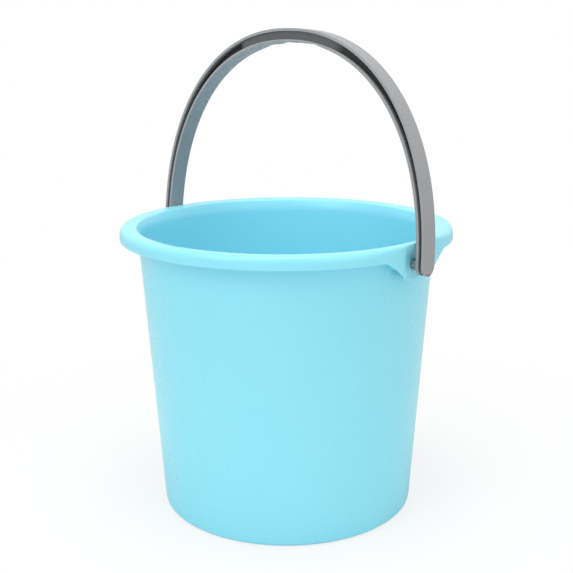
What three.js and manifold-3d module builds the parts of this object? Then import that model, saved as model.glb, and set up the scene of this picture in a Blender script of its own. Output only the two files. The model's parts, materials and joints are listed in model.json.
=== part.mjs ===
// A ten-litre household bucket with a swinging carrying handle.
//
// It is made of two plastic mouldings. The bucket is one thin shell: a tapered wall on a foot
// ring, a rim that turns over and down, and two ears that grow out of the rim to carry the handle.
// The handle is an arch of H-shaped strap with a thicker grip, and a pin that snaps into each ear.
//
// Millimetres, +Z up. The origin is the centre of the foot ring's underside, and the axis that the
// handle swings about runs along X. The handle stands up and leans slightly towards +Y.

import * as THREE from 'three';
import { mergeVertices } from 'three/addons/utils/BufferGeometryUtils.js';
import Module from 'manifold-3d';

// Bucket: wall and base
const bucketHeight = 245.8;
const rimRadius = 140;
const wallTopRadius = 124.7;
const wallFootRadius = 108.9;
const wall = 2;
const baseFillet = 4.9;
const floorThickness = 2.2;
const floorFillet = 7;
const footHeight = 2.5;
const footWidth = 6;

// Bucket: rim. The crest is its highest line, and the skirt is the turned-down outer face.
const rimFaceHeight = 10.7;
const rimThickness = 1.8;
const skirtEdge = 1;
const crestInset = 6.9;
const rimCornerPower = 3.1;
const innerEdgeInset = 14.2;
const innerEdgeDrop = 1.1;
const flareHeight = 6.5;
const underRimFillet = 3;

// Ears: the skirt hangs down as an apron round the handle's pin, with a pocket behind the strap.
// Beside the pocket, its face stays just clear of the swinging strap.
const earFaceX = 130.5;
const earTopX = 135;
const earBlend = 2.5;
const pocketHalfWidth = 11;
const pocketFlank = 8;
const swingClearance = 0.7;
const apronDrop = 19.1;
const apronHalfWidth = 42;
const apronFlat = 6;
const earRibOffset = 21.5;
const earRibThickness = 1.8;
const earRibDrop = 8;
const earRibRise = 4;
const earRibFillet = 6;
const ribBite = 0.9;

// Hinge
const pivotBelowRim = 17.8;
const pinRadius = 3.3;
const pinClearance = 0.4;
const faceClearance = 0.35;
const headLip = 0.5;
const headLength = 2.2;
const bossRadius = 4.8;

// Handle. Its heights are counted from the hinge axis.
const strapStandOff = 6.9;
const strapThickness = 7.1;
const strapWidth = 15.4;
const archHeight = 177.1;
const archSpring = -2.1;
const archPower = 2.2;
const gripThickness = 11.2;
const flange = 2.2;
const webThickness = 4;
const gripGroove = 1.4;
const gripHalfLength = 50;
const gripRunout = 9;
const fingerPitch = 20;
const fingerCount = 4;
const fingerDepth = 1;
const handleLean = THREE.MathUtils.degToRad(3.2);

// Fineness of the faceted surfaces
const roundSteps = 120;
const earCrowding = 0.6;
const arcSteps = 4;
const archSteps = 72;
const pinSteps = 32;

const wasm = await Module();
wasm.setup();

// Places that follow from the sizes above
const rimFoot = bucketHeight - rimFaceHeight;
const underRim = bucketHeight - rimThickness;
const skirtTop = rimFoot + skirtEdge;
const crestRadius = rimRadius - crestInset;
const floorTop = footHeight + floorThickness;
const pivotZ = bucketHeight - pivotBelowRim;
const apronBackX = earFaceX - rimThickness;
const strapInnerX = earFaceX + strapStandOff;
const strapOuterX = strapInnerX + strapThickness;
const flareFoot = bucketHeight - innerEdgeDrop - flareHeight;

// The wall's outer radius at height z.
function wallOuter(z) {
  const share = (z - baseFillet) / (rimFoot - baseFillet);
  return THREE.MathUtils.lerp(wallFootRadius, wallTopRadius, share);
}

// Points of a round corner from one angle to another, in degrees.
function arc(x, y, radius, from, to) {
  const start = THREE.MathUtils.degToRad(from);
  const end = THREE.MathUtils.degToRad(to);
  return new THREE.EllipseCurve(x, y, radius, radius, start, end, to < from).getPoints(arcSteps);
}

// A quarter of a superellipse, from its side to its top.
function superQuarter(x, y, halfWidth, height, power, steps) {
  const points = [];
  for (let i = 0; i <= steps; i += 1) {
    const angle = (i / steps) * (Math.PI / 2);
    const across = Math.max(Math.cos(angle), 0) ** (2 / power);
    const up = Math.sin(angle) ** (2 / power);
    points.push(new THREE.Vector2(x + halfWidth * across, y + height * up));
  }
  return points;
}

// Half of the bucket's section, from the axis under the floor, round the outside and over the rim,
// to the axis above the floor. It is a list of stretches, and each says where an ear may press it
// (the skirt's outer face or its back), and whether an ear draws it down.
function bucketSection() {
  const point = (x, y) => new THREE.Vector2(x, y);
  const footOuter = wallFootRadius - baseFillet;
  const fromWall = wallOuter(underRim - underRimFillet) + underRimFillet;
  const backWidth = crestInset - rimThickness;
  const skirtBack = superQuarter(
    crestRadius, skirtTop, backWidth, underRim - skirtTop, rimCornerPower, arcSteps,
  ).reverse();
  const skirtFace = superQuarter(
    crestRadius, skirtTop, crestInset, bucketHeight - skirtTop, rimCornerPower, 2 * arcSteps,
  );
  const edgeRadius = rimRadius - innerEdgeInset;
  const edgeZ = bucketHeight - innerEdgeDrop;
  const flareRadius = wallOuter(flareFoot) - wall;
  const cornerZ = floorTop + floorFillet;
  const cornerRadius = wallOuter(cornerZ) - wall - floorFillet;

  return [
    { points: [point(0, footHeight), point(footOuter - footWidth - 1, footHeight)] },
    { points: [point(footOuter - footWidth, 0)] },
    { points: arc(footOuter, baseFillet, baseFillet, -90, 0) },
    { points: arc(fromWall, underRim - underRimFillet, underRimFillet, 180, 90) },
    { points: skirtBack, press: rimThickness },
    { points: [point(crestRadius + backWidth, rimFoot)], press: rimThickness, drawn: true },
    { points: [point(rimRadius, rimFoot)], press: 0, drawn: true },
    { points: skirtFace, press: 0 },
    { points: [point((crestRadius + edgeRadius) / 2, bucketHeight - innerEdgeDrop / 4)] },
    { points: [point(edgeRadius, edgeZ)] },
    { points: [point((edgeRadius + flareRadius) / 2, edgeZ - flareHeight / 3)] },
    { points: [point(flareRadius, flareFoot)] },
    { points: arc(cornerRadius, cornerZ, floorFillet, 0, -90) },
    { points: [point(0, floorTop)] },
  ];
}

// The smaller of two lengths, rounded over where they are nearly equal.
function softMin(a, b, blend) {
  const near = Math.max(blend - Math.abs(a - b), 0) / blend;
  return Math.min(a, b) - (near * near * blend) / 4;
}

// How far from the middle the strap's inner side is, at a distance along it from the hinge.
function strapInnerAt(along) {
  const rise = archHeight - gripThickness - archSpring;
  const share = Math.max(along - archSpring, 0) / rise;
  return strapInnerX * (1 - share ** archPower) ** (1 / archPower);
}

// How far out an ear's face reaches at a place on it.
function earReach(y, z) {
  const up = THREE.MathUtils.smoothstep(z, skirtTop, bucketHeight);
  const pocket = THREE.MathUtils.lerp(earFaceX, earTopX, up);
  const beside = strapInnerAt(Math.hypot(y, z - pivotZ)) - swingClearance;
  const end = pocketHalfWidth + pocketFlank;
  const out = THREE.MathUtils.smoothstep(Math.abs(y), pocketHalfWidth, end);
  return THREE.MathUtils.lerp(pocket, beside, out);
}

// How far an ear draws the skirt down at a distance from the ear's middle.
function apronLength(y) {
  return apronDrop * (1 - THREE.MathUtils.smoothstep(Math.abs(y), apronFlat, apronHalfWidth));
}

// The shell is turned from its section. The turned columns of points are crowded together at the
// ears, where the skirt's foot is then drawn down and its face pressed flat.
function bucketShell() {
  const section = bucketSection().flatMap(
    ({ points, press, drawn }) => points.map((point) => ({ point, press, drawn })),
  );
  const geometry = new THREE.LatheGeometry(section.map(({ point }) => point), roundSteps);
  geometry.rotateX(Math.PI / 2);
  const position = geometry.attributes.position;
  for (let i = 0; i < position.count; i += 1) {
    const { point, press, drawn } = section[i % section.length];
    const column = Math.floor(i / section.length) % roundSteps;
    const even = (column / roundSteps) * 2 * Math.PI;
    const angle = even - (earCrowding / 2) * Math.sin(2 * even);
    const y = point.x * Math.sin(angle);
    const z = drawn ? point.y - apronLength(y) : point.y;
    let x = point.x * Math.cos(angle);
    if (press !== undefined) {
      x = Math.sign(x) * softMin(Math.abs(x), earReach(y, z) - press, earBlend);
    }
    position.setXYZ(i, x, y, z);
  }
  return geometry;
}

// A flat outline in X and Z, thickened along Y and centred on y.
function plateXZ(points, thickness, y = 0) {
  const settings = { depth: thickness, bevelEnabled: false };
  const geometry = new THREE.ExtrudeGeometry(new THREE.Shape(points), settings);
  geometry.rotateX(Math.PI / 2);
  geometry.translate(0, y + thickness / 2, 0);
  return geometry;
}

// A round pin along X between two places.
function pinX(radius, fromX, toX, z) {
  const geometry = new THREE.CylinderGeometry(radius, radius, toX - fromX, pinSteps);
  geometry.rotateZ(Math.PI / 2);
  geometry.translate((fromX + toX) / 2, 0, z);
  return geometry;
}

// A closed mesh as a solid that can be joined and cut.
function solidOf(geometry) {
  const bare = geometry.clone();
  bare.deleteAttribute('normal');
  bare.deleteAttribute('uv');
  const merged = mergeVertices(bare, 1e-4);
  return new wasm.Manifold(new wasm.Mesh({
    numProp: 3,
    vertProperties: new Float32Array(merged.attributes.position.array),
    triVerts: new Uint32Array(merged.index.array),
  }));
}

function geometryOf(solid) {
  const mesh = solid.getMesh();
  const geometry = new THREE.BufferGeometry();
  geometry.setAttribute('position', new THREE.BufferAttribute(mesh.vertProperties, 3));
  geometry.setIndex(new THREE.BufferAttribute(mesh.triVerts, 1));
  geometry.computeVertexNormals();
  return geometry;
}

// The same geometry on the other side of the bucket, turned half a turn about Z.
function opposite(geometry) {
  const turned = geometry.clone();
  turned.rotateZ(Math.PI);
  return turned;
}

// A rib that ties an ear's apron back to the wall. It ends a little inside both of them.
function earRib(y) {
  const foot = rimFoot - earRibDrop;
  const outerEnd = earReach(y, foot) - rimThickness + ribBite;
  const top = underRim + ribBite / 2;
  const across = (radius) => Math.sqrt(radius ** 2 - y ** 2);
  const root = across(wallOuter(foot - earRibRise) - ribBite);
  const outline = [
    ...superQuarter(root + earRibFillet, foot - earRibRise, -earRibFillet, earRibRise, 2, arcSteps),
    new THREE.Vector2(outerEnd, foot),
    new THREE.Vector2(outerEnd, top),
    new THREE.Vector2(across(wallOuter(top) + ribBite * 0.7), top),
    new THREE.Vector2(across(wallOuter(flareFoot) - ribBite), flareFoot),
  ];
  return plateXZ(outline, earRibThickness, y);
}

function makeBucket() {
  let solid = solidOf(bucketShell());
  const ribs = [earRib(earRibOffset), earRib(-earRibOffset)];
  for (const rib of [...ribs, ...ribs.map(opposite)]) {
    solid = solid.add(solidOf(rib));
  }
  const hole = pinX(
    pinRadius + pinClearance, apronBackX - faceClearance, earFaceX + strapStandOff, pivotZ,
  );
  for (const cut of [hole, opposite(hole)]) {
    solid = solid.subtract(solidOf(cut));
  }
  return geometryOf(solid);
}

// One edge of the arch as seen along Y, from the +X foot over the top to the -X foot.
function archEdge(halfWidth, height, foot) {
  const rise = height - archSpring;
  const quarter = superQuarter(0, archSpring, halfWidth, rise, archPower, archSteps / 2);
  const mirrored = quarter.slice(0, -1).reverse().map((p) => new THREE.Vector2(-p.x, p.y));
  const ends = [new THREE.Vector2(halfWidth, foot), new THREE.Vector2(-halfWidth, foot)];
  return [ends[0], ...quarter, ...mirrored, ends[1]];
}

// The inner edge carries the shallow finger waves, under the middle of the grip.
function fingerWave(x) {
  const reach = (fingerPitch * fingerCount) / 2;
  if (Math.abs(x) > reach) {
    return 0;
  }
  return (fingerDepth / 2) * (1 - Math.cos((2 * Math.PI * (x + reach)) / fingerPitch));
}

function waved(points) {
  return points.map((p) => new THREE.Vector2(p.x, p.y + (p.y > 0 ? fingerWave(p.x) : 0)));
}

// The strap seen from the side: straight edges with a round foot about the hinge axis.
function strapSide(halfWidth, top) {
  const foot = arc(0, 0, halfWidth, 180, 360);
  return [...foot, new THREE.Vector2(halfWidth, top), new THREE.Vector2(-halfWidth, top)];
}

// A flat outline in Y and Z, thickened along X and centred on the axis.
function plateYZ(points, thickness) {
  const geometry = plateXZ(points, thickness);
  geometry.rotateZ(Math.PI / 2);
  return geometry;
}

// The arch is cut from a plate. The side grooves are what lies between the two flanges and
// outside the web, and they follow the strap round its feet.
function makeHandle() {
  const top = archHeight + strapWidth;
  const foot = -strapWidth;
  const innerHeight = archHeight - gripThickness;
  const outer = archEdge(strapOuterX, archHeight, foot);
  const inner = waved(archEdge(strapInnerX, innerHeight, foot));
  const arch = solidOf(plateXZ([...outer, ...inner.reverse()], strapWidth));
  const side = solidOf(plateYZ(strapSide(strapWidth / 2, top), 4 * strapOuterX));
  let solid = arch.intersect(side);

  const grooveOuter = archEdge(strapOuterX - flange, archHeight - flange, 2 * foot);
  const grooveInner = waved(archEdge(strapInnerX + flange, innerHeight + flange, 2 * foot));
  const between = solidOf(plateXZ([...grooveOuter, ...grooveInner.reverse()], 2 * strapWidth));
  const web = solidOf(plateYZ(strapSide(webThickness / 2, top), 4 * strapOuterX));
  const gripWeb = strapWidth / 2 - gripGroove;
  const runout = gripHalfLength + gripRunout;
  const gripPlan = [
    new THREE.Vector2(-runout, -webThickness / 2),
    new THREE.Vector2(-gripHalfLength, -gripWeb),
    new THREE.Vector2(gripHalfLength, -gripWeb),
    new THREE.Vector2(runout, -webThickness / 2),
    new THREE.Vector2(runout, webThickness / 2),
    new THREE.Vector2(gripHalfLength, gripWeb),
    new THREE.Vector2(-gripHalfLength, gripWeb),
    new THREE.Vector2(-runout, webThickness / 2),
  ];
  const grip = new THREE.ExtrudeGeometry(new THREE.Shape(gripPlan), {
    depth: top, bevelEnabled: false,
  });
  solid = solid.subtract(between.subtract(web).subtract(solidOf(grip)));

  const bossEnd = earFaceX + faceClearance;
  const headFront = apronBackX - faceClearance;
  const fasteners = [
    pinX(bossRadius, bossEnd, strapInnerX + flange / 2, 0),
    pinX(pinRadius, headFront - headLength, bossEnd + flange, 0),
    pinX(pinRadius + pinClearance + headLip, headFront - headLength, headFront, 0),
  ];
  for (const piece of [...fasteners, ...fasteners.map(opposite)]) {
    solid = solid.add(solidOf(piece));
  }
  return geometryOf(solid);
}

const part = new THREE.Group();

const bucketPlastic = new THREE.MeshStandardMaterial({
  color: 0x93e1f2, roughness: 0.28, metalness: 0,
});
const bucket = new THREE.Mesh(makeBucket(), bucketPlastic);
bucket.name = 'bucket';
part.add(bucket);

const handlePlastic = new THREE.MeshStandardMaterial({
  color: 0x9a9b9d, roughness: 0.45, metalness: 0,
});
const handle = new THREE.Mesh(makeHandle(), handlePlastic);
handle.name = 'handle';
handle.position.z = pivotZ;
handle.rotation.x = -handleLean;
part.add(handle);

export default part;
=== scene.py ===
# %% [markdown]
# # A plastic bucket with a swinging handle
#
# The real object is two injection mouldings: a glossy turquoise bucket, and a satin grey handle
# that snaps into two ears under the bucket's rim. The CAD model fixes the size and the place of
# both. Here each one is modelled again with the round edges, the thin section and the surface of
# the real plastic, and takes the place of its plain solid.

# %% Load the CAD frame
import json
import math
from contextlib import contextmanager

import bmesh
import bpy
from mathutils import Matrix, Vector


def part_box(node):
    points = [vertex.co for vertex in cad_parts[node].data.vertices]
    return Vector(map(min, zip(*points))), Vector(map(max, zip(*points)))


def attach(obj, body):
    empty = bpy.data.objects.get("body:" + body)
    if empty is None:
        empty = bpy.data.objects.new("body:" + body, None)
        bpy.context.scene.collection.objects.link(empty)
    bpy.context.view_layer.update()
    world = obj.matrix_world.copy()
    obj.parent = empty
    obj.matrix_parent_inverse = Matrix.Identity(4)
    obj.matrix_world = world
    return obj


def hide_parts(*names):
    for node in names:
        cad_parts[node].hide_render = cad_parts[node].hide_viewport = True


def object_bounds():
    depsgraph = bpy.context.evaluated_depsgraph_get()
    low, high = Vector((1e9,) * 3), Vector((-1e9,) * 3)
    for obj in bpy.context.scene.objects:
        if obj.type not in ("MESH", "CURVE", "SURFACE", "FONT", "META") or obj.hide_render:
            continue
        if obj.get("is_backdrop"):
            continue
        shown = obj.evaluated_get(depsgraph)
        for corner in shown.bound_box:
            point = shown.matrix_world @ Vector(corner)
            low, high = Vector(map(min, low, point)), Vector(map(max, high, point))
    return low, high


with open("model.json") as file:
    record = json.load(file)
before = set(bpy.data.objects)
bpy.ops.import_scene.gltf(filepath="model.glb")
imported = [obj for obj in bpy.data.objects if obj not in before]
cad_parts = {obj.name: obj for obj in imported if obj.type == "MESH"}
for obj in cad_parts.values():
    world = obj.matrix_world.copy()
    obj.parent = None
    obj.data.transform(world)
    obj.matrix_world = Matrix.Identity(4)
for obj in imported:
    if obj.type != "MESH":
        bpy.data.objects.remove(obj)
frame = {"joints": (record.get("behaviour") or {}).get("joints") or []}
cad_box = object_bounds()
mm = 0.001

bucket_low, bucket_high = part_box("bucket")
handle_low, handle_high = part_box("handle")
swing = frame["joints"][0]
pivot = Vector(swing["pos_m"])
print("bucket", tuple(round(v / mm, 1) for v in bucket_high - bucket_low), "mm")
print("handle", tuple(round(v / mm, 1) for v in handle_high - handle_low), "mm")

# %% [markdown]
# The camera stands where the photograph was taken from: a little less than a metre from the
# bucket's middle, higher than the rim and looking slightly down. The handle's axis is seen at an
# angle, so one ear is near and to the right, and the other one is hidden behind the rim.

# %% Camera
view_turn = math.radians(41.36)
view_pitch = math.radians(13.96)
view_roll = math.radians(-0.29)
view_distance = 849 * mm
view_height = 400.3 * mm
sensor_width = 36
view_lens = 63.76

camera_data = bpy.data.cameras.new("camera")
camera_data.sensor_width = sensor_width
camera_data.lens = view_lens
camera = bpy.data.objects.new("camera", camera_data)
bpy.context.scene.collection.objects.link(camera)
camera.matrix_world = (
    Matrix.Rotation(view_turn, 4, "Z")
    @ Matrix.Translation((0, -view_distance, view_height))
    @ Matrix.Rotation(math.pi / 2 - view_pitch, 4, "X")
    @ Matrix.Rotation(view_roll, 4, "Z")
)
bpy.context.scene.camera = camera
print("camera at", tuple(round(v, 3) for v in camera.matrix_world.translation))

# %% [markdown]
# Operators act on whatever is selected, so small helpers say what that is. One makes a single
# piece active, one opens it in edit mode, and one selects its edges or faces by a test on their
# place or direction. The last two apply a modifier, and put a piece's place, turn and size into
# its mesh.

# %% Helpers for selecting
def alone(piece):
    if bpy.context.object and bpy.context.object.mode != "OBJECT":
        bpy.ops.object.mode_set(mode="OBJECT")
    bpy.ops.object.select_all(action="DESELECT")
    piece.select_set(True)
    bpy.context.view_layer.objects.active = piece


@contextmanager
def editing(piece):
    alone(piece)
    bpy.ops.object.mode_set(mode="EDIT")
    yield
    bpy.ops.object.mode_set(mode="OBJECT")


def pick(piece, kind, wanted):
    bpy.ops.mesh.select_mode(type=kind)
    bpy.ops.mesh.select_all(action="DESELECT")
    mesh = bmesh.from_edit_mesh(piece.data)
    elements = {"EDGE": mesh.edges, "FACE": mesh.faces}[kind]
    chosen = [element for element in elements if wanted(element)]
    for element in chosen:
        element.select_set(True)
    bmesh.update_edit_mesh(piece.data)
    return len(chosen)


def finish_modifier(piece, name):
    alone(piece)
    bpy.ops.object.modifier_apply(modifier=name)


def settle(piece):
    alone(piece)
    bpy.ops.object.transform_apply(location=True, rotation=True, scale=True)


# %% [markdown]
# ## The bucket's section
#
# The bucket is round, so it is turned: half of its section is drawn as a line and spun about the
# upright axis. The section is drawn as a draughtsman would, as corners that are then rounded.
# Only the rim's outer corner isn't a plain arc. It is squarer, so it follows a superellipse.

# %% Sizes of the bucket
rim_radius = bucket_high.y
bucket_height = bucket_high.z
wall_top_radius = 124.7 * mm
wall_foot_radius = 108.9 * mm
wall_foot_height = 4.9 * mm
wall = 2 * mm
floor_thickness = 2.2 * mm
foot_height = 2.5 * mm
foot_width = 6 * mm
rim_face_height = 10.7 * mm
rim_thickness = 1.8 * mm
skirt_edge = 1 * mm
crest_inset = 6.9 * mm
rim_corner_power = 3.1
inner_edge_inset = 14.2 * mm
inner_edge_drop = 1.1 * mm
flare_height = 6.5 * mm

rim_foot = bucket_height - rim_face_height
under_rim = bucket_height - rim_thickness
skirt_top = rim_foot + skirt_edge
crest_radius = rim_radius - crest_inset


def wall_outer(z):
    share = (z - wall_foot_height) / (rim_foot - wall_foot_height)
    return wall_foot_radius + share * (wall_top_radius - wall_foot_radius)


wall_slope = (wall_top_radius - wall_foot_radius) / (rim_foot - wall_foot_height)
print("the wall leans", round(math.degrees(math.atan(wall_slope)), 2), "degrees")

# %% [markdown]
# Two kinds of corner are needed. A plain one is an arc that touches both straight stretches. The
# rim's outer corner stays straight for longer and then turns more quickly, as a superellipse
# does when its power is above 2.

# %% Rounded corners
def arc_corner(before, corner, after, radius, steps):
    """The points that round off a corner between two straight stretches."""
    here = Vector(corner)
    to_before = (Vector(before) - here).normalized()
    to_after = (Vector(after) - here).normalized()
    half = to_before.angle(to_after) / 2
    reach = radius / math.tan(half)
    centre = here + (to_before + to_after).normalized() * radius / math.sin(half)
    start = here + to_before * reach - centre
    end = here + to_after * reach - centre
    turn = start.angle_signed(end)
    return [
        centre + Matrix.Rotation(-turn * i / steps, 2) @ start
        for i in range(steps + 1)
    ]


def super_corner(steps):
    """The rim's outer corner, from its face up to the crest."""
    points = []
    for i in range(steps + 1):
        angle = i / steps * math.pi / 2
        across = max(math.cos(angle), 0) ** (2 / rim_corner_power)
        up = math.sin(angle) ** (2 / rim_corner_power)
        points.append(Vector((
            crest_radius + crest_inset * across,
            skirt_top + (bucket_height - skirt_top) * up,
        )))
    return points


# %% [markdown]
# Each corner below is a radius from the axis, a height, and the radius of its rounding. A corner
# with no rounding is a ring on the straight wall, below which the ears change nothing. The
# stretch that an ear will bend later gets a name: `face` is the rim's outer face, `back` is the
# face behind it, and `foot` is the lower edge that joins them.

# %% Draw the section
foot_outer = wall_foot_radius - wall_foot_height
back_radius = rim_radius - rim_thickness
edge_radius = rim_radius - inner_edge_inset
edge_z = bucket_height - inner_edge_drop
flare_foot = edge_z - flare_height
floor_top = foot_height + floor_thickness
below_ears = 212 * mm
foot_draft = 1 * mm
moulded_edge = 0.8 * mm
corner_steps = 8
rim_corner_steps = 16

lower_corners = [
    (foot_outer - foot_width - foot_draft, foot_height, moulded_edge, ""),
    (foot_outer - foot_width, 0, 0.5 * mm, ""),
    (wall_outer(0), 0, 5.1 * mm, ""),
    (wall_outer(below_ears), below_ears, 0, ""),
    (wall_outer(under_rim), under_rim, 3 * mm, ""),
    (back_radius, under_rim, 4 * mm, "back"),
    (back_radius, rim_foot, moulded_edge, "foot"),
    (rim_radius, rim_foot, moulded_edge, "foot"),
]
upper_corners = [
    (edge_radius, edge_z, 1.6 * mm, ""),
    (wall_outer(flare_foot) - wall, flare_foot, 24 * mm, ""),
    (wall_outer(below_ears) - wall, below_ears, 0, ""),
    (wall_outer(floor_top) - wall, floor_top, 7 * mm, ""),
]


def round_off(start, corners, end):
    stops = [start, *[corner[:2] for corner in corners], end]
    for place, (_, _, radius, group) in enumerate(corners):
        before, here, after = stops[place:place + 3]
        if radius == 0:
            yield Vector(here), group
            continue
        for point in arc_corner(before, here, after, radius, corner_steps):
            yield point, group


rim_corner = super_corner(rim_corner_steps)
section = [
    (Vector((0, foot_height)), ""),
    *round_off((0, foot_height), lower_corners, rim_corner[0]),
    *[(point, "face") for point in rim_corner],
    *round_off(rim_corner[-1], upper_corners, (0, floor_top)),
    (Vector((0, floor_top)), ""),
]
print("the section has", len(section), "points")

# %% [markdown]
# A single point is drawn out along the section, and the line that it leaves is spun into the
# shell. Spinning copies the points' groups too, so the ears can still find the rim's face.

# %% Spin the bucket
merge_within = 0.01 * mm
turn_steps = 420


def draw_line(name, stops):
    bpy.ops.object.select_all(action="DESELECT")
    bpy.ops.mesh.primitive_plane_add(size=mm)
    piece = bpy.context.object
    piece.name = name
    groups = {group for _, group in stops if group}
    for group in sorted(groups):
        piece.vertex_groups.new(name=group)
    first = stops[0][0]
    with editing(piece):
        bpy.ops.mesh.select_all(action="SELECT")
        bpy.ops.mesh.merge(type="CENTER")
        bpy.ops.transform.translate(value=(first.x, 0, first.y))
        for (here, _), (after, group) in zip(stops, stops[1:]):
            step = (after.x - here.x, 0, after.y - here.y)
            bpy.ops.mesh.extrude_region_move(TRANSFORM_OT_translate={"value": step})
            for other in groups:
                bpy.ops.object.vertex_group_set_active(group=other)
                bpy.ops.object.vertex_group_remove_from()
            if group:
                bpy.ops.object.vertex_group_set_active(group=group)
                bpy.ops.object.vertex_group_assign()
    return piece


def spin_round(piece, steps):
    with editing(piece):
        bpy.ops.mesh.select_all(action="SELECT")
        bpy.ops.mesh.spin(
            steps=steps, angle=2 * math.pi, center=(0, 0, 0), axis=(0, 0, 1),
        )
        bpy.ops.mesh.select_all(action="SELECT")
        bpy.ops.mesh.remove_doubles(threshold=merge_within)
        bpy.ops.mesh.normals_make_consistent(inside=False)


bucket = draw_line("bucket_shell", section)
spin_round(bucket, turn_steps)
print("the bucket has", len(bucket.data.polygons), "faces")

# %% [markdown]
# ## The ears
#
# At two opposite places the rim's lower edge hangs down as an apron round the pin, and its face
# goes in to a pocket behind the strap. Beside the pocket the face stays just clear of the strap
# as it swings past. On the real moulding all of it runs smoothly into the rim. Here a formula
# gives every point of the rim a weight, as weight painting would, and a Displace modifier moves
# the points by that weight.

# %% Sizes of the ears
ear_face_x = 130.5 * mm
ear_top_x = 135 * mm
ear_blend = 2.5 * mm
pocket_half_width = 11 * mm
pocket_flank = 8 * mm
swing_clearance = 0.7 * mm
apron_drop = 19.1 * mm
apron_half_width = 42 * mm
apron_flat = 6 * mm
strap_stand_off = 6.9 * mm
arch_height = 177.1 * mm
arch_spring = -2.1 * mm
arch_power = 2.2
grip_thickness = 11.2 * mm
strap_inner_x = ear_face_x + strap_stand_off


def smooth_step(value, low, high):
    share = min(max((value - low) / (high - low), 0), 1)
    return share * share * (3 - 2 * share)


def soft_min(a, b, blend):
    near = max(blend - abs(a - b), 0) / blend
    return min(a, b) - near * near * blend / 4


def strap_inner_at(along):
    """How far out the strap's inner side is, at a distance along it from the hinge."""
    share = max(along - arch_spring, 0) / (arch_height - grip_thickness - arch_spring)
    return strap_inner_x * (1 - share ** arch_power) ** (1 / arch_power)


def ear_reach(y, z):
    up = smooth_step(z, skirt_top, bucket_height)
    pocket = ear_face_x + up * (ear_top_x - ear_face_x)
    beside = strap_inner_at(math.hypot(y, z - pivot.z)) - swing_clearance
    out = smooth_step(abs(y), pocket_half_width, pocket_half_width + pocket_flank)
    return pocket + out * (beside - pocket)


def apron_length(y):
    return apron_drop * (1 - smooth_step(abs(y), apron_flat, apron_half_width))


# %% [markdown]
# A Displace modifier moves points along one axis, each by the distance times its weight. The
# lower edge is drawn down first. Then the face, its back and the edge are pressed in by how far
# each point lies outside the ear's own face, so that the skirt keeps its thickness. A soft
# minimum rounds the place where the pressing begins.

# %% Press the ears
def members(piece, *names):
    wanted = {piece.vertex_groups[name].index for name in names}
    return [v for v in piece.data.vertices if any(g.group in wanted for g in v.groups)]


def push(piece, name, moves, direction, distance):
    """Move points along one axis, each by its own share of the distance."""
    group = piece.vertex_groups.new(name=name)
    for index, share in moves.items():
        group.add([index], share, "REPLACE")
    modifier = piece.modifiers.new(name, "DISPLACE")
    modifier.vertex_group = name
    modifier.direction = direction
    modifier.mid_level = 0
    modifier.strength = distance
    finish_modifier(piece, name)
    piece.vertex_groups.remove(piece.vertex_groups[name])
    return len(moves)


hanging = {
    v.index: apron_length(v.co.y) / apron_drop
    for v in members(bucket, "foot")
    if apron_length(v.co.y) > 0
}
print("points drawn down:", push(bucket, "apron", hanging, "Z", -apron_drop))

deepest = rim_radius - ear_face_x
back_points = {v.index for v in members(bucket, "back")}
foot_points = {v.index for v in members(bucket, "foot")}
for side, name in ((1, "ear_right"), (-1, "ear_left")):
    pressed = {}
    for v in members(bucket, "face", "back", "foot"):
        across = v.co.x * side
        behind = 0
        if v.index in foot_points:
            behind = rim_radius - math.hypot(v.co.x, v.co.y)
        elif v.index in back_points:
            behind = rim_thickness
        reach = ear_reach(v.co.y, v.co.z) - behind
        depth = across - soft_min(across, reach, ear_blend)
        if depth > 0:
            pressed[v.index] = depth / deepest
    print(name, "points:", push(bucket, name, pressed, "X", -side * deepest))

# %% [markdown]
# The handle's bar, the ribs, the pins and their holes start as plain solids: a box, a cylinder
# along X, or a plate with a drawn outline. A Boolean modifier joins a solid to a moulding or
# cuts it away. Its exact solver is used, because it also copes with faces that touch.

# %% Solids for joining and cutting
pin_sides = 64


def box_piece(name, low, high):
    bpy.ops.object.select_all(action="DESELECT")
    low, high = Vector(low), Vector(high)
    bpy.ops.mesh.primitive_cube_add(size=1, location=(low + high) / 2)
    piece = bpy.context.object
    piece.name = name
    piece.scale = high - low
    settle(piece)
    return piece


def pin_piece(name, radius, from_x, to_x, z):
    bpy.ops.object.select_all(action="DESELECT")
    bpy.ops.mesh.primitive_cylinder_add(
        vertices=pin_sides, radius=radius, depth=abs(to_x - from_x),
        location=((from_x + to_x) / 2, 0, z), rotation=(0, math.pi / 2, 0),
    )
    piece = bpy.context.object
    piece.name = name
    settle(piece)
    return piece


def combine(piece, tool, operation):
    modifier = piece.modifiers.new(operation, "BOOLEAN")
    modifier.operation = operation
    modifier.solver = "EXACT"
    modifier.object = tool
    finish_modifier(piece, operation)
    bpy.data.objects.remove(tool)


def plate_piece(name, outline, y, thickness):
    bpy.ops.object.select_all(action="DESELECT")
    bpy.ops.mesh.primitive_circle_add(
        vertices=len(outline), radius=mm, fill_type="NGON",
    )
    piece = bpy.context.object
    piece.name = name
    for v, (x, z) in zip(piece.data.vertices, outline):
        v.co = (x, y - thickness / 2, z)
    with editing(piece):
        bpy.ops.mesh.select_all(action="SELECT")
        bpy.ops.mesh.extrude_region_move(
            TRANSFORM_OT_translate={"value": (0, thickness, 0)},
        )
        bpy.ops.mesh.select_all(action="SELECT")
        bpy.ops.mesh.normals_make_consistent(inside=False)
    return piece


# %% [markdown]
# Two small ribs tie each apron back to the wall. They stop the ear from flexing when a full
# bucket is lifted. A rib is a flat plate, drawn as an outline and then given its thickness. The
# outline follows the wall and the flare on the inside, with a hollow rounding where its lower
# edge meets the wall. Booleans join the ribs to the shell and cut the holes for the pins.

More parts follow.
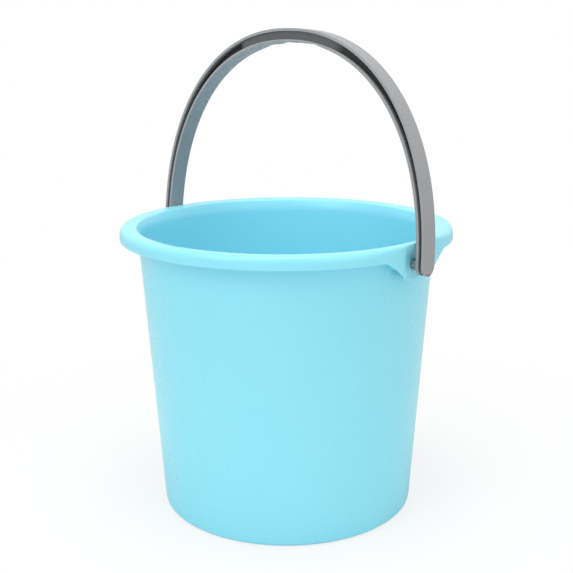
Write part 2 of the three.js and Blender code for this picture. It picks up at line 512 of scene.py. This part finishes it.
# %% Ribs and pin holes
ear_rib_offset = 21.5 * mm
ear_rib_thickness = 1.8 * mm
ear_rib_drop = 8 * mm
ear_rib_rise = 4 * mm
ear_rib_fillet = 6 * mm
rib_corner_steps = 8
rib_bite = 0.9 * mm
rib_top_bite = rib_bite * 0.7
pin_radius = 3.3 * mm
pin_clearance = 0.4 * mm
cut_overrun = 1 * mm
bucket_smooth_angle = math.radians(38)
hole_radius = pin_radius + pin_clearance
apron_back_x = ear_face_x - rim_thickness


def rib_outline(y):
    """The rib's outline in X and Z: its hollow lower corner, its outer end and its top."""
    def across(radius):
        return math.sqrt(radius ** 2 - y ** 2)
    foot = rim_foot - ear_rib_drop
    low = foot - ear_rib_rise
    top = under_rim + rib_bite / 2
    end = ear_reach(y, foot) - rim_thickness + rib_bite
    root = across(wall_outer(low) - rib_bite)
    corner = []
    for i in range(rib_corner_steps + 1):
        angle = i / rib_corner_steps * math.pi / 2
        corner.append((
            root + ear_rib_fillet * (1 - math.cos(angle)),
            low + ear_rib_rise * math.sin(angle),
        ))
    return [
        *corner, (end, foot), (end, top),
        (across(wall_outer(top) + rib_top_bite), top),
        (across(wall_outer(flare_foot) - rib_bite), flare_foot),
    ]


for side in (1, -1):
    for y in (-ear_rib_offset, ear_rib_offset):
        outline = [(side * x, z) for x, z in rib_outline(y)]
        combine(bucket, plate_piece("rib", outline, y, ear_rib_thickness), "UNION")
    hole = pin_piece(
        "hole", hole_radius,
        side * (apron_back_x - cut_overrun), side * (ear_face_x + cut_overrun), pivot.z,
    )
    combine(bucket, hole, "DIFFERENCE")

alone(bucket)
bpy.ops.object.shade_smooth_by_angle(angle=bucket_smooth_angle)
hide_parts("bucket")
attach(bucket, "bucket")
print("the bucket now has", len(bucket.data.polygons), "faces")

# %% [markdown]
# ## The handle
#
# The handle is one long strap with an H-shaped section: two flanges with a web between them. It
# is easiest to make it straight, as a bar with round ends, and to bend it afterwards. So a bar
# is made as long as the arch's middle line, its side is inset and pushed in to leave the
# flanges, and the grip is thickened while everything is still straight.

# %% Sizes of the handle
strap_thickness = 7.1 * mm
strap_width = 15.4 * mm
flange = 2.2 * mm
web_thickness = 4 * mm
grip_groove = 1.4 * mm
grip_half_length = 50 * mm
grip_runout = 9 * mm
finger_pitch = 20 * mm
finger_count = 4
finger_depth = 1 * mm
handle_lean = math.radians(3.2)
edge_round = 0.55 * mm

middle_x = strap_inner_x + strap_thickness / 2
middle_height = arch_height - grip_thickness / 2


def arch_points(steps):
    """The arch's middle line, from the foot at +X over the top to the foot at -X."""
    rise = middle_height - arch_spring
    half = []
    for i in range(steps + 1):
        angle = i / steps * math.pi / 2
        half.append(Vector((
            middle_x * max(math.cos(angle), 0) ** (2 / arch_power),
            arch_spring + rise * math.sin(angle) ** (2 / arch_power),
        )))
    foot = Vector((middle_x, -strap_width / 2))
    mirrored = [Vector((-point.x, point.y)) for point in reversed(half[:-1])]
    return [foot, *half, *mirrored, Vector((-foot.x, foot.y))]


arch_steps = 200
arch = arch_points(arch_steps)
arch_length = sum((b - a).length for a, b in zip(arch, arch[1:]))
print("the strap is", round(arch_length / mm, 1), "mm long before it is bent")

# %% [markdown]
# The bar lies along X with its outer side towards -Y, its width along Z. Its ends are rounded by
# bevelling the two edges across its thickness at each end until they almost meet. The band
# round its side is then inset by the thickness of a flange, and what is inside the inset is
# pushed in to the web.

# %% Make the straight bar
bar_steps = 240
end_steps = 12
end_share = 0.999
handle = box_piece(
    "handle_strap",
    (0, -strap_thickness / 2, -strap_width / 2),
    (arch_length, strap_thickness / 2, strap_width / 2),
)
web_depth = (strap_width - web_thickness) / 2


def along(edge, axis):
    line = edge.verts[1].co - edge.verts[0].co
    return abs(line[axis]) > 0.99 * line.length


with editing(handle):
    pick(handle, "EDGE", lambda e: along(e, 1))
    bpy.ops.mesh.bevel(
        offset=strap_width / 2 * end_share, segments=end_steps, affect="EDGES",
    )
    pick(handle, "EDGE", lambda e: along(e, 0) and e.calc_length() > arch_length / 2)
    bpy.ops.mesh.subdivide(number_cuts=bar_steps)
    side_faces = pick(handle, "FACE", lambda f: abs(f.normal.y) < 0.5)
    bpy.ops.mesh.inset(thickness=flange, use_even_offset=True)
    bpy.ops.mesh.extrude_region_shrink_fatten(
        TRANSFORM_OT_shrink_fatten={"value": -web_depth}
    )
print("side faces:", side_faces)

# %% [markdown]
# Three things change along the bar, and each is written as a formula of the distance from its
# end: how level the arch will run there, how deep a finger's wave is, and how far the grip's
# own section has taken over from the strap's.

# %% Changes along the bar
def arch_slope(x):
    """How level the arch runs at a distance along the bar: 0 at its feet and 1 at its top."""
    gone = 0
    for a, b in zip(arch, arch[1:]):
        length = (b - a).length
        if gone + length >= x:
            return abs(b.x - a.x) / length
        gone += length
    return 0


def finger_wave(x):
    away = x - arch_length / 2
    if abs(away) > finger_pitch * finger_count / 2:
        return 0
    start = away + finger_pitch * finger_count / 2
    return finger_depth / 2 * (1 - math.cos(2 * math.pi * start / finger_pitch))


def grip_share(x):
    away = abs(x - arch_length / 2)
    return 1 - smooth_step(away, grip_half_length, grip_half_length + grip_runout)


# %% [markdown]
# The grooves will get painted shade, darker than the flanges. Once the bar is bent it is hard to
# say which points lie in them, so the share of painted shade is stored on the mesh now: 1 in a
# groove, less in the grip's shallow one, and 0 outside.

# %% Mark the painted shade in the grooves
groove_share = 0.9
grip_lightening = 0.25
groove_edge = strap_width / 2 - web_depth * groove_share

groove_shade = handle.data.attributes.new("groove_shade", "FLOAT", "POINT")
# Painted shade: 1 deep in a groove, less where the grip's groove is shallow, 0 on the flanges.
for v in handle.data.vertices:
    inside = abs(v.co.z) < groove_edge
    groove_shade.data[v.index].value = 1 - grip_lightening * grip_share(v.co.x) if inside else 0
print("points in the grooves:", sum(1 for point in groove_shade.data if point.value > 0))

# %% [markdown]
# The web stands right out at the grip, where the groove is shallow and fills the palm, and the
# grip is also thicker from top to bottom, with four shallow waves for the fingers below. Both
# follow the distance along the bar, so they are weights for Displace modifiers again.

# %% Shape the grip
thickening_power = 1.6
web_margin = 0.1 * mm
web_least = web_thickness / 3
web_most = strap_width / 2 - web_depth + web_margin
finger_side = strap_thickness / 2 - flange / 2
growth = (grip_thickness - strap_thickness) / 2
travel = growth + finger_depth
grip_web = strap_width / 2 - grip_groove
web_rise = grip_web - web_thickness / 2

slopes = {}
for v in handle.data.vertices:
    slopes.setdefault(round(v.co.x, 6), arch_slope(v.co.x) ** thickening_power)

outward, inward, front, rear = {}, {}, {}, {}
for v in handle.data.vertices:
    x = v.co.x
    thicker = growth * slopes[round(x, 6)]
    if v.co.y < 0:
        outward[v.index] = thicker / travel
    else:
        wave = finger_wave(x) if v.co.y > finger_side else 0
        inward[v.index] = (thicker - wave) / travel
    if web_least < abs(v.co.z) < web_most and grip_share(x) > 0:
        (front if v.co.z < 0 else rear)[v.index] = grip_share(x)
push(handle, "outward", outward, "Y", -travel)
push(handle, "inward", inward, "Y", travel)
push(handle, "front", front, "Z", -web_rise)
push(handle, "rear", rear, "Z", web_rise)
print("the grip is", round((strap_thickness + 2 * growth) / mm, 1), "mm thick")

# %% [markdown]
# Moulded edges are never sharp. They are rounded while the bar is still straight, because the
# bevel is the same everywhere there. Then a Curve modifier bends the bar along the arch, and it
# is stood up, leaned back as in the photograph and set on the hinge axis.

# %% Round the edges and bend the bar
sharp_angle = math.radians(50)
round_steps = 3

with editing(handle):
    bpy.ops.mesh.select_mode(type="EDGE")
    bpy.ops.mesh.select_all(action="DESELECT")
    bpy.ops.mesh.edges_select_sharp(sharpness=sharp_angle)
    bpy.ops.mesh.bevel(
        offset=edge_round, segments=round_steps, affect="EDGES", clamp_overlap=True,
    )

path_data = bpy.data.curves.new("arch", "CURVE")
path_data.dimensions = "2D"
line = path_data.splines.new("POLY")
line.points.add(len(arch) - 1)
for stop, point in zip(line.points, arch):
    stop.co = (point.x, point.y, 0, 1)
path = bpy.data.objects.new("arch", path_data)
bpy.context.scene.collection.objects.link(path)
bend = handle.modifiers.new("bend", "CURVE")
bend.object = path
bend.deform_axis = "POS_X"
finish_modifier(handle, "bend")
bpy.data.objects.remove(path)

handle.rotation_euler.x = math.pi / 2
settle(handle)
print("the arch is", round(handle.dimensions.x / mm, 1), "mm wide")

# %% [markdown]
# Each foot carries a round boss that keeps the strap off the ear, and a pin with a small head
# that snaps through the ear's hole. They are turned parts of the same moulding.

# %% Bosses and pins
boss_radius = 4.8 * mm
boss_round = 0.5 * mm
face_clearance = 0.35 * mm
head_lip = 0.5 * mm
head_length = 2.2 * mm
head_round = 0.4 * mm
pin_overlap = 1 * mm
handle_smooth_angle = math.radians(35)
boss_end = ear_face_x + face_clearance
head_front = apron_back_x - face_clearance


def round_ends(piece, width):
    with editing(piece):
        pick(piece, "EDGE", lambda e: not along(e, 0))
        bpy.ops.mesh.bevel(offset=width, segments=round_steps, affect="EDGES")


for side in (1, -1):
    boss = pin_piece(
        "boss", boss_radius, side * boss_end, side * (strap_inner_x + flange / 2), 0,
    )
    round_ends(boss, boss_round)
    combine(handle, boss, "UNION")
    pin = pin_piece(
        "pin", pin_radius,
        side * (head_front - pin_overlap), side * (boss_end + flange / 2), 0,
    )
    combine(handle, pin, "UNION")
    head = pin_piece(
        "head", hole_radius + head_lip,
        side * (head_front - head_length), side * head_front, 0,
    )
    round_ends(head, head_round)
    combine(handle, head, "UNION")

handle.location = pivot
handle.rotation_euler.x = -handle_lean
settle(handle)
bpy.ops.object.shade_smooth_by_angle(angle=handle_smooth_angle)
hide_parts("handle")
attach(handle, "handle")
print("the handle has", len(handle.data.polygons), "faces")

# %% [markdown]
# ## The finishes
#
# A finish is a small tree of nodes. Its sums are written as ordinary sums: a number that comes
# out of a node is wrapped in `Value`, whose operators add Math nodes.

# %% Sums on nodes
class Value:
    def __init__(self, finish, socket):
        self.finish = finish
        self.socket = socket

    def sum(self, operation, first, second):
        made = self.finish.node(
            "ShaderNodeMath", {"operation": operation}, {0: first, 1: second},
        )
        return Value(self.finish, made.outputs[0])

    def __add__(self, other):
        return self.sum("ADD", self, other)

    def __radd__(self, other):
        return self.sum("ADD", other, self)

    def __mul__(self, other):
        return self.sum("MULTIPLY", self, other)

    def __rmul__(self, other):
        return self.sum("MULTIPLY", other, self)


# %% [markdown]
# Every other node comes from one method, which takes its settings first and then what goes into
# its sockets: a plain value or a link. The world has nodes too, so it is made in the same way.

# %% Nodes
class Finish:
    """The nodes of a material or of the world, which is the owner."""
    def __init__(self, owner):
        owner.use_nodes = True
        owner.node_tree.nodes.clear()
        self.owner = owner

    def node(self, kind, settings=None, sockets=None):
        made = self.owner.node_tree.nodes.new(kind)
        for name, setting in (settings or {}).items():
            setattr(made, name, setting)
        for name, value in (sockets or {}).items():
            socket = made.inputs[name]
            source = value.socket if isinstance(value, Value) else value
            if isinstance(source, bpy.types.NodeSocket):
                self.owner.node_tree.links.new(source, socket)
            else:
                socket.default_value = source
        return made

    def noise(self, place, scale, detail):
        made = self.node("ShaderNodeTexNoise", {}, {
            "Vector": place, "Scale": scale, "Detail": detail,
        })
        return Value(self, made.outputs["Fac"])

    def cover(self, piece, surface):
        """Send a shader to the output, and give the piece this material alone."""
        self.node("ShaderNodeOutputMaterial", {}, {"Surface": surface})
        piece.data.materials.clear()
        piece.data.materials.append(self.owner)
        print("made", self.owner.name)


# %% [markdown]
# Colours are picked on a screen, where 128 looks about half as bright as 255 but stands for a
# fifth of its light. A shader counts light, so every colour is turned into that first.

# %% Colours
def linear(red, green, blue):
    """A colour as it is seen on a screen, 0 to 255, in the numbers that a shader needs."""
    def straight(level):
        level = level / 255
        return level / 12.92 if level <= 0.04045 else ((level + 0.055) / 1.055) ** 2.4
    return (straight(red), straight(green), straight(blue), 1)


# %% [markdown]
# The bucket is coloured polypropylene. Its colour runs right through, with only a faint cloudy
# variation where the melt flowed, and its surface copies the polished mould: glossy, with a
# soft unevenness that shows in the reflections, and finer specks that dull the gloss.

# %% Turquoise plastic
turquoise = Finish(bpy.data.materials.new("turquoise_plastic"))
place = turquoise.node("ShaderNodeTexCoord").outputs["Object"]
cloud = turquoise.noise(place, scale=14.0, detail=3.0)
flow = turquoise.noise(place, scale=60.0, detail=2.0)
specks = turquoise.noise(place, scale=900.0, detail=1.0)
colour = turquoise.node("ShaderNodeMix", {"data_type": "RGBA"}, {
    "Factor": cloud, "A": linear(146, 234, 251), "B": linear(153, 237, 253),
})
bump = turquoise.node("ShaderNodeBump", {}, {
    "Strength": 0.09, "Distance": 0.0008, "Height": flow * 0.9 + specks * 0.1,
})
shader = turquoise.node("ShaderNodeBsdfPrincipled", {}, {
    "Base Color": colour.outputs["Result"],
    "Roughness": 0.24 + specks * 0.1,
    "IOR": 1.49,
    "Normal": bump.outputs["Normal"],
})
turquoise.cover(bucket, shader.outputs["BSDF"])

# %% [markdown]
# The handle's grey plastic comes from a mould that was spark eroded, which leaves a fine satin
# grain. Light spreads on it, so it has no sharp reflections. Its deep grooves get painted shade:
# they read the share stored on the mesh's points and turn nearly black.

# %% Grey plastic
grey = Finish(bpy.data.materials.new("grey_plastic"))
place = grey.node("ShaderNodeTexCoord").outputs["Object"]
cloud = grey.noise(place, scale=30.0, detail=3.0)
grain = grey.noise(place, scale=2200.0, detail=2.0)
face = grey.node("ShaderNodeMix", {"data_type": "RGBA"}, {
    "Factor": cloud, "A": linear(156, 157, 159), "B": linear(164, 165, 167),
})
shade_share = grey.node("ShaderNodeAttribute", {"attribute_name": "groove_shade"}).outputs["Fac"]
# Painted shade: the groove colour goes towards nearly black by the stored share.
colour = grey.node("ShaderNodeMix", {"data_type": "RGBA"}, {
    "Factor": Value(grey, shade_share) * 0.97,
    "A": face.outputs["Result"], "B": linear(26, 26, 28),
})
bump = grey.node("ShaderNodeBump", {}, {
    "Strength": 0.14, "Distance": 0.0002, "Height": grain,
})
shader = grey.node("ShaderNodeBsdfPrincipled", {}, {
    "Base Color": colour.outputs["Result"],
    "Roughness": 0.42 + grain * 0.12,
    "IOR": 1.48,
    "Normal": bump.outputs["Normal"],
})
grey.cover(handle, shader.outputs["BSDF"])

# %% [markdown]
# ## The studio
#
# The bucket stands on a plain white floor. Its white is a glow that only the camera sees, so it
# throws no light on the object. The glow is weaker close to the bucket, where the floor's own
# colour shows through and carries the shadow, and full white further out, where the floor has
# to pass into the backdrop with no line.

# %% Floor
floor_size = 12
white = (1, 1, 1, 1)
glow_near = 0.75
fade_from = 0.12
fade_to = 0.5
bpy.ops.object.select_all(action="DESELECT")
bpy.ops.mesh.primitive_plane_add(size=floor_size)
floor = bpy.context.object
floor.name = "floor"
paper = Finish(bpy.data.materials.new("white_floor"))
rays = paper.node("ShaderNodeLightPath")
diffuse = paper.node("ShaderNodeBsdfDiffuse", {}, {"Color": linear(250, 250, 250)})
glow = paper.node("ShaderNodeEmission", {}, {"Color": white, "Strength": 1.0})
away = paper.node("ShaderNodeVectorMath", {"operation": "LENGTH"}, {
    0: paper.node("ShaderNodeTexCoord").outputs["Object"],
})
far = paper.node("ShaderNodeMapRange", {"interpolation_type": "SMOOTHSTEP"}, {
    "Value": away.outputs["Value"], "From Min": fade_from, "From Max": fade_to,
    "To Min": glow_near, "To Max": 1.0,
})
seen = Value(paper, rays.outputs["Is Camera Ray"]) * Value(paper, far.outputs["Result"])
mixed = paper.node("ShaderNodeMixShader", {}, {
    "Fac": seen, 1: diffuse.outputs["BSDF"], 2: glow.outputs["Emission"],
})
paper.cover(floor, mixed.outputs["Shader"])
floor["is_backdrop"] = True

# %% [markdown]
# The world is a white room. Its white is what the camera, the gloss and clear materials see,
# while the light that it throws on the object is lower, so that a colour comes out about as it
# is written. Light Path tells the two kinds of ray apart.

# %% World
ambient = 0.55
room = Finish(bpy.data.worlds.new("white_room"))
bpy.context.scene.world = room.owner
rays = room.node("ShaderNodeLightPath").outputs
seen = Value(room, rays["Is Camera Ray"])
for kind in ("Is Glossy Ray", "Is Transmission Ray"):
    seen = seen.sum("MAXIMUM", seen, rays[kind])
light = room.node("ShaderNodeBackground", {}, {"Color": white, "Strength": ambient})
backdrop = room.node("ShaderNodeBackground", {}, {"Color": white, "Strength": 1.0})
choice = room.node("ShaderNodeMixShader", {}, {
    "Fac": seen, 1: light.outputs["Background"], 2: backdrop.outputs["Background"],
})
room.node("ShaderNodeOutputWorld", {}, {"Surface": choice.outputs["Shader"]})
print("the room is lit at", ambient)

# %% [markdown]
# Three large soft lamps light the bucket. One high on the left gives the wall its slow change
# from light to dark, a weaker one fills the right side, and one overhead reaches the inside and
# the rim. Each is placed by the direction that it shines from, counted from the camera, and
# aimed at the middle of the bucket.

# %% Lamps
def lamp(name, turn, height, distance, size, power):
    """turn is degrees to the right of the camera, height is degrees above the floor."""
    data = bpy.data.lights.new(name, "AREA")
    data.shape = "DISK"
    data.size = size
    data.energy = power
    made = bpy.data.objects.new(name, data)
    bpy.context.scene.collection.objects.link(made)
    angle = view_turn + math.radians(turn)
    rise = math.radians(height)
    away = Vector((
        math.sin(angle) * math.cos(rise), -math.cos(angle) * math.cos(rise), math.sin(rise),
    ))
    target = Vector((0, 0, bucket_height / 2))
    made.location = target + away * distance
    made.rotation_mode = "QUATERNION"
    made.rotation_quaternion = away.to_track_quat("Z", "Y")
    print(name, "lamp at", tuple(round(v, 2) for v in made.location))


lamp("key", turn=-42, height=40, distance=1.9, size=1.1, power=7)
lamp("fill", turn=35, height=30, distance=2.0, size=1.2, power=3)
lamp("top", turn=0, height=84, distance=1.7, size=1.0, power=13)

# %% [markdown]
# A colour should reach the screen as it was written, so the view transform is Standard. Last,
# the model's box is measured and printed beside the CAD box.

# %% Finish
bpy.context.scene.view_settings.view_transform = "Standard"
visual_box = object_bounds()
for label, box in (("cad", cad_box), ("visual", visual_box)):
    print(label, [tuple(round(v / mm, 1) for v in corner) for corner in box])
